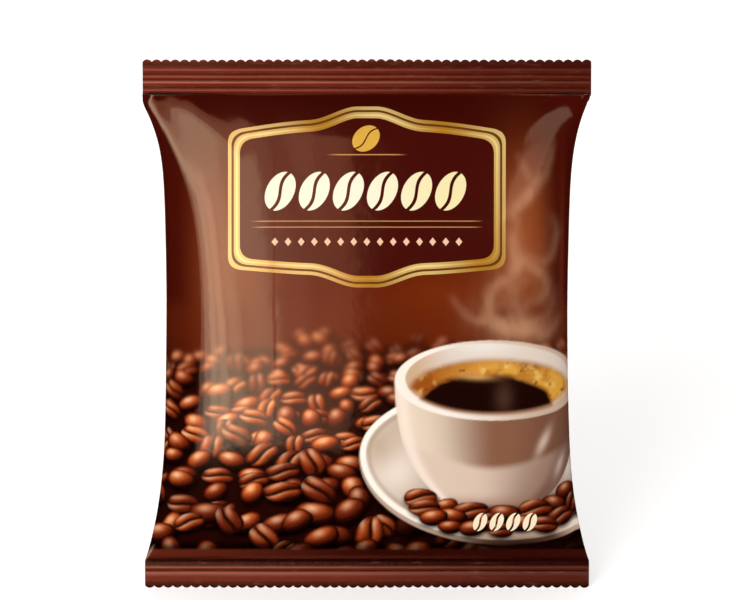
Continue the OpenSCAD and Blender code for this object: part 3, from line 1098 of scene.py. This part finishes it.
def coffee_bed(name, tube, material):
    """Ground coffee: it fills the film from its lowest point up to an uneven level top."""
    grid = refine(tube.points, 2, 2, wrap=True)
    draw = np.random.default_rng(5)
    grains = draw.uniform(-0.25, 0.25, grid.shape[:2]) * MM
    inside = grid - grid_normals(grid, wrap=True) * (FILM + 0.6 * MM + grains)[..., None]
    height = inside[..., 2].mean(1)
    body = inside[(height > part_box("coffee_fill")[0].z) & (height < FILL_TOP - 1 * MM)]
    ring_top = body[-1]
    centre = ring_top.mean(0)
    rings = []
    for share in np.linspace(1, 0.04, 26)[1:]:
        flat = centre + (ring_top - centre) * share
        flat[:, 2] += (2.2 * (1 - share) + draw.uniform(-0.35, 0.35, len(flat))) * MM
        rings.append(flat)
    grid = np.concatenate([body, np.array(rings)])
    index = np.arange(grid[..., 0].size).reshape(grid.shape[:2])
    quads = grid_quads(np.concatenate([index, index[:, :1]], 1))
    caps = [index[0][::-1], index[-1]]
    return make_object(name, grid.reshape(-1, 3), quads, caps, materials=(material,))


# ---- shader formulas

class Value:
    """A number in a shader tree, written as a formula."""

    def __init__(self, tree, socket):
        self.tree, self.socket = tree, socket

    def math(self, operation, *others):
        node = self.tree.nodes.new("ShaderNodeMath")
        node.operation = operation
        for place, value in enumerate((self, *others)):
            connect(self.tree, value, node.inputs[place])
        return Value(self.tree, node.outputs[0])

    def rises(self, start, end):
        """0 below start, 1 above end, and smooth between them. start may be above end."""
        node = self.tree.nodes.new("ShaderNodeMapRange")
        node.interpolation_type = "SMOOTHSTEP"
        ends = ((start, 0.0), (end, 1.0)) if start < end else ((end, 1.0), (start, 0.0))
        values = (self, ends[0][0], ends[1][0], ends[0][1], ends[1][1])
        for place, value in enumerate(values):
            connect(self.tree, value, node.inputs[place])
        return Value(self.tree, node.outputs[0])


for method, operation in (
    ("__add__", "ADD"), ("__sub__", "SUBTRACT"), ("__mul__", "MULTIPLY"), ("__truediv__", "DIVIDE"),
    ("__abs__", "ABSOLUTE"), ("larger", "MAXIMUM"), ("smaller", "MINIMUM"), ("sine", "SINE"),
    ("root", "SQRT"),
):
    setattr(Value, method, partialmethod(Value.math, operation))


def connect(tree, source, target):
    """Links a Value or socket to an input, or sets the input to a plain number or colour."""
    if isinstance(source, Value):
        source = source.socket
    if isinstance(source, bpy.types.NodeSocket):
        tree.links.new(source, target)
    elif hasattr(source, "__len__"):
        target.default_value = (*source, 1.0)
    else:
        target.default_value = source


def new_material(name):
    """A material with a Principled shader: (material, tree, shader)."""
    material = bpy.data.materials.new(name)
    material.use_nodes = True
    tree = material.node_tree
    return material, tree, tree.nodes["Principled BSDF"]


def feed(tree, node, **inputs):
    """Links or sets inputs of a node. Spaces in their names are written as _."""
    for name, value in inputs.items():
        connect(tree, value, node.inputs[name.replace("_", " ")])


def object_place(tree):
    """Position in the object's own coordinates."""
    return tree.nodes.new("ShaderNodeTexCoord").outputs["Object"]


def mixed(tree, a, b, share):
    """Colour that goes from a to b with share."""
    node = tree.nodes.new("ShaderNodeMix")
    node.data_type = "RGBA"
    connect(tree, share, node.inputs[0])
    connect(tree, a, node.inputs[6])
    connect(tree, b, node.inputs[7])
    return node.outputs[2]


def attribute(tree, name):
    node = tree.nodes.new("ShaderNodeAttribute")
    node.attribute_name = name
    return node


def split(tree, vector):
    """The three parts of a vector, as Values."""
    node = tree.nodes.new("ShaderNodeSeparateXYZ")
    tree.links.new(vector, node.inputs[0])
    return [Value(tree, out) for out in node.outputs]


def noise(tree, scale, detail=3.0, stretch=(1, 1, 1), distortion=0.0):
    """Noise in the object's own coordinates, in features per metre."""
    mapping = tree.nodes.new("ShaderNodeMapping")
    mapping.inputs["Scale"].default_value = stretch
    tree.links.new(object_place(tree), mapping.inputs[0])
    node = tree.nodes.new("ShaderNodeTexNoise")
    feed(tree, node, Scale=scale, Detail=detail, Distortion=distortion, Vector=mapping.outputs[0])
    return Value(tree, node.outputs[0])


def bump(tree, shader, height, distance, strength=1.0):
    node = tree.nodes.new("ShaderNodeBump")
    feed(tree, node, Strength=strength, Distance=distance, Height=height)
    tree.links.new(node.outputs[0], shader.inputs["Normal"])


# ---- crisp inks on the label

SOFT = 0.1                 # width of a printed edge in millimetres


def bean_mark(u, v, long_half, short_half, lean, crease):
    """A bean seen flat, split along an S-shaped crease: 1 inside its two halves."""
    c, s = math.cos(lean), math.sin(lean)
    x = (u * c + v * s) / long_half
    y = (v * c - u * s) / short_half
    body = (x * x + y * y).root().rises(1 + SOFT / long_half, 1 - SOFT / long_half)
    bend = (x * 2.9).sine() * 0.2
    gap = abs(y - bend) * short_half
    return body * gap.rises(crease / 2 - SOFT / 2, crease / 2 + SOFT / 2)


def rule(u, v, height, half_length, thickness):
    """A thin line that fades out at both ends."""
    across = abs(v - height).rises(thickness / 2 + SOFT / 2, thickness / 2 - SOFT / 2)
    return across * abs(u).rises(half_length, half_length - 5.0)


def repeated(u, pitch, count):
    """u measured from the middle of the nearest of count equal cells, and 1 inside the row."""
    half = pitch * count / 2
    inside = abs(u).rises(half + 0.01, half)
    cell = (u + half + pitch).math("FLOORED_MODULO", pitch) - pitch / 2
    return cell, inside


def label_inks(tree, base, u, v, depth):
    """Lays the label over the base colour. Returns the colour and where the gold is."""
    inside = depth.rises(1.15, 1.3)
    band = depth.rises(1.85, 1.95) * depth.rises(3.95, 3.85)
    line = depth.rises(-0.05, 0.05) * depth.rises(1.2, 1.1)
    gold = (band + line).smaller(1.0)
    glint = ((u * 0.155 + v * 0.045).sine() * 0.5 + 0.5).larger(u.rises(-20.0, -44.0))
    tone = mixed(tree, ink(180, 128, 40), ink(234, 206, 132), glint)
    shade = depth.rises(1.9, 2.9) * depth.rises(3.9, 2.9)
    tone = mixed(tree, ink(136, 86, 20), tone, shade.larger(0.6))
    icon = bean_mark(u + 0.3, v - 151.2, 5.0, 3.9, math.radians(40), 0.5)
    rules = rule(u, v, 145.8, 14.0, 0.42)
    rules = rules + rule(u, v, 123.6, 39.5, 0.34) + rule(u, v, 121.6, 39.5, 0.34)
    cell, in_row = repeated(u + 0.5, 11.4, 6)
    name_row = bean_mark(cell, v - 133.6, 6.9, 4.6, math.radians(62), 1.15) * in_row
    cream = mixed(tree, ink(230, 222, 198), ink(224, 210, 158), u.rises(-8.0, 30.0))
    cell, in_row = repeated(u, 4.4, 15)
    diamonds = (abs(cell) * 1.25 + abs(v - 116.7)).rises(1.5, 1.3) * in_row
    cell, in_row = repeated(u - 46.5, 5.6, 4)
    low_row = bean_mark(cell, v - 22.4, 3.3, 2.1, math.radians(62), 0.7) * in_row
    colour = base
    for layer, share in (
        (ink(62, 11, 6), inside),
        (ink(94, 52, 16), inside * depth.rises(1.95, 1.85)),
        (tone, gold),
        (ink(212, 164, 66), icon),
        (ink(186, 134, 78), (rules * 0.85).smaller(1.0)),
        (cream, name_row),
        (ink(224, 178, 146), diamonds),
        (ink(238, 220, 188), low_row),
    ):
        colour = mixed(tree, colour, layer, share)
    return colour, (gold + icon + rules * 0.5).smaller(1.0)


# ---- materials

def printed_film():
    """Reverse-printed glossy film: ink under a clear layer, with faint creases and handling marks."""
    material, tree, shader = new_material("printed_film")
    u, v, depth = split(tree, attribute(tree, "print").outputs["Vector"])
    base = attribute(tree, "ink").outputs["Color"]
    colour, gold = label_inks(tree, base, u, v, depth)
    haze = noise(tree, 42.0, 4.0)
    feed(
        tree, shader, Base_Color=colour, Metallic=gold * 0.1, Roughness=haze * 0.09 + 0.06,
        Specular_IOR_Level=0.5, Specular_Tint=(1.0, 0.78, 0.6),
    )
    fine = noise(tree, 260.0, 2.0) * 0.3 + noise(tree, 70.0, 3.0, distortion=0.6)
    bump(tree, shader, fine, 0.0002, 0.35)
    return material


def metallised_film():
    """Vacuum-metallised inner side of the film: soft silver with fine crinkles."""
    material, tree, shader = new_material("metallised_film")
    cloud = noise(tree, 90.0, 4.0)
    silver = mixed(tree, ink(206, 204, 200), ink(176, 174, 172), cloud)
    feed(tree, shader, Base_Color=silver, Metallic=0.9, Roughness=cloud * 0.2 + 0.25)
    bump(tree, shader, noise(tree, 420.0, 3.0), 0.0002, 0.4)
    return material


def crimped_film():
    """The same film where it is heat-sealed: fine scuffs along the ribs."""
    material, tree, shader = new_material("crimped_film")
    base = attribute(tree, "ink").outputs["Color"]
    scuff = noise(tree, 150.0, 4.0, stretch=(1, 1, 6))
    wear_and_side_light = mixed(tree, base, ink(140, 84, 64), scuff.rises(0.55, 0.8) * 0.25)
    feed(
        tree, shader, Base_Color=wear_and_side_light, Roughness=scuff * 0.14 + 0.12,
        Specular_IOR_Level=0.5, Specular_Tint=(1.0, 0.74, 0.58),
    )
    bump(tree, shader, noise(tree, 600.0, 2.0), 0.0001, 0.4)
    return material


def ground_coffee():
    """Coarse dark grains with oily flecks."""
    material, tree, shader = new_material("ground_coffee")
    cells = tree.nodes.new("ShaderNodeTexVoronoi")
    feed(tree, cells, Scale=900.0, Vector=object_place(tree))
    grain = Value(tree, cells.outputs["Distance"])
    brown = mixed(tree, ink(70, 36, 20), ink(24, 10, 6), noise(tree, 300.0, 3.0))
    feed(tree, shader, Base_Color=brown, Roughness=grain * 0.4 + 0.45)
    bump(tree, shader, grain * -1.0, 0.0008, 1.0)
    return material


# ---- studio

def white_world():
    """White all round, except that glossy rays see darkness, so that only the cards are mirrored."""
    world = bpy.data.worlds.new("studio")
    bpy.context.scene.world = world
    world.use_nodes = True
    tree = world.node_tree
    rays = tree.nodes.new("ShaderNodeLightPath").outputs
    camera_ray, glossy_ray = Value(tree, rays["Is Camera Ray"]), Value(tree, rays["Is Glossy Ray"])
    strength = (camera_ray * 0.5 + 0.55) - glossy_ray * 0.55
    feed(tree, tree.nodes["Background"], Color=(1.0, 0.985, 0.97), Strength=strength)
    world.cycles.sampling_method = "NONE"


def make_floor():
    """A pale floor that glows a little more far away, where the lamps don't reach."""
    mesh = bpy.data.meshes.new("floor")
    span = 6.0
    corners = [(-span, -span, 0), (span, -span, 0), (span, span, 0), (-span, span, 0)]
    mesh.from_pydata(corners, [], [(0, 1, 2, 3)])
    material, tree, shader = new_material("floor")
    x, y, _ = split(tree, object_place(tree))
    glow = (x * x + y * y).rises(0.1, 2.0) * 0.2 + 0.335
    white = mixed(tree, ink(250, 250, 250), ink(246, 246, 246), noise(tree, 3.0, 2.0))
    feed(
        tree, shader, Base_Color=white, Roughness=0.8, Specular_IOR_Level=0.0,
        Emission_Color=(1, 1, 1), Emission_Strength=glow,
    )
    mesh.materials.append(material)
    floor = add_object("floor", mesh)
    floor.visible_glossy = floor.visible_shadow = False


def panel_light(name, yaw, pitch, distance, wide, tall, power, glossy=False, colour=(1, 1, 1)):
    """A rectangular lamp that faces the pouch. yaw is to the right seen from the front, pitch is up.

    A glossy lamp only shows as a reflection, and any other lamp only lights matt colour.
    """
    lamp = bpy.data.lights.new(name, "AREA")
    lamp.shape = "RECTANGLE"
    lamp.size, lamp.size_y = wide, tall
    lamp.energy, lamp.color = power, colour
    obj = add_object(name, lamp)
    yaw, pitch = math.radians(yaw), math.radians(pitch)
    level = math.cos(pitch)
    toward = Vector((math.sin(yaw) * level, -math.cos(yaw) * level, math.sin(pitch)))
    obj.location = Vector((0, 0, HEIGHT / 2)) + toward * distance
    obj.rotation_euler = toward.to_track_quat("Z", "Y").to_euler()
    obj.visible_camera = False
    obj.visible_glossy = glossy
    obj.visible_diffuse = not glossy


def mirrored_card(name, left, right, low_pitch, high_pitch, brightness, colour):
    """A glossy lamp 1 m away that spans these angles, in degrees, as bright as brightness."""
    wide, tall = (
        2 * math.tan(math.radians((end - start) / 2))
        for start, end in ((left, right), (low_pitch, high_pitch))
    )
    yaw, pitch = (left + right) / 2, (low_pitch + high_pitch) / 2
    panel_light(name, yaw, pitch, 1.0, wide, tall, brightness * math.pi * wide * tall, True, colour)


# The mirrored window, from its left side: first and last yaw, top pitch, brightness and colour of
# each strip.
WINDOW = (
    (-51, -45, 30, 1.7, (1, 0.82, 0.70)),
    (-45, -39, 38, 4.6, (1, 0.82, 0.70)),
    (-39, -33, 48, 7.2, (1, 0.88, 0.74)),
    (-33, -27, 56, 8.0, (1, 0.82, 0.68)),
    (-27, -21, 52, 5.8, (1, 0.82, 0.66)),
    (-21, -14, 45, 4.6, (1, 0.74, 0.59)),
    (-14, -7, 39, 2.4, (1, 0.56, 0.43)),
    (-7, -1.4, 35, 1.9, (1, 0.50, 0.35)),
)

# The same at the back: first and last yaw and brightness.
BACK_WINDOW = (
    (157, 163, 0.9),
    (163, 169, 2.0),
    (169, 178, 3.0),
    (184, 191, 2.2),
    (191, 197, 1.5),
    (197, 203, 0.8),
)


def studio():
    white_world()
    make_floor()
    panel_light("key", -30, 35, 1.6, 1.0, 1.0, 14)
    panel_light("fill", 35, 10, 1.8, 1.0, 1.0, 5)
    panel_light("back_fill", 190, 20, 1.8, 1.0, 1.0, 8)
    for k, (left, right, top, brightness, colour) in enumerate(WINDOW):
        mirrored_card(f"window_{k}", left, right, -34, top, brightness, colour)
    for k, (left, right, brightness) in enumerate(BACK_WINDOW):
        mirrored_card(f"back_window_{k}", left, right, -30, 50, brightness, (1, 0.9, 0.8))
    mirrored_card("high_right_strip", 43, 58, 18, 64, 3.4, (1, 0.84, 0.68))
    mirrored_card("corner_strip", 21, 33, -10, 13, 2.0, (1, 0.80, 0.68))


# ---- the whole pouch

def join_up(piece, node, body):
    """Puts a piece on its body and hides the CAD node that it stands for."""
    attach(piece, body)
    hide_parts(node)
    return piece


def build_panels(film, printed, silver):
    middle = HALF_COLUMNS + HALF_COLUMNS // 2
    spans = (
        ("film_front", "front_panel", 0, HALF_COLUMNS, FRONT_FINENESS, 3),
        ("film_back_right", "back_panel_right", HALF_COLUMNS, middle, BACK_FINENESS, 2),
        ("film_back_left", "back_panel_left", middle, 2 * HALF_COLUMNS, BACK_FINENESS, 2),
    )
    for name, node, first, last, fineness, coarse in spans:
        piece = film.panel(name, first, last, fineness, coarse, (printed, silver))
        join_up(piece, node, "pouch")


def build_fin(film, printed, silver):
    inner = fin_ply("fin_inner", film, 0, (silver, silver))
    join_up(inner, "fin_seal_inner_ply", "pouch")
    outer = fin_ply("fin_outer", film, 1, (printed, silver))
    join_up(outer, "fin_seal_outer_ply", "pouch")


def build_seals(crimped, silver):
    ends = (
        # Each seal's colours: its land, the painted shade in its notches and the painted highlight on its
        # crests.
        ("top_seal", TOP_ROOT, 1, TOP_RIBS, (ink(98, 29, 15), ink(52, 6, 1), ink(156, 92, 76))),
        ("bottom_seal", BOTTOM_ROOT, -1, BOTTOM_RIBS, (ink(104, 38, 24), ink(34, 3, 1), ink(150, 88, 72))),
    )
    for body, root, up, ribs, colours in ends:
        for side, word in ((-1, "front"), (1, "back")):
            name = f"{body}_{word}"
            piece = seal_ply(name, side, root, up, ribs, colours, (crimped, silver))
            join_up(piece, f"{name}_ply", body)


def build():
    make_camera()
    tube = FilmTube()
    tube.simulate()
    film = Film(tube, Picture().paint())
    printed, silver, crimped = printed_film(), metallised_film(), crimped_film()
    build_panels(film, printed, silver)
    build_fin(film, printed, silver)
    build_seals(crimped, silver)
    coffee = coffee_bed("coffee", tube, ground_coffee())
    join_up(coffee, "coffee_fill", "pouch")
    studio()
    bpy.context.scene.view_settings.view_transform = "Standard"


build()
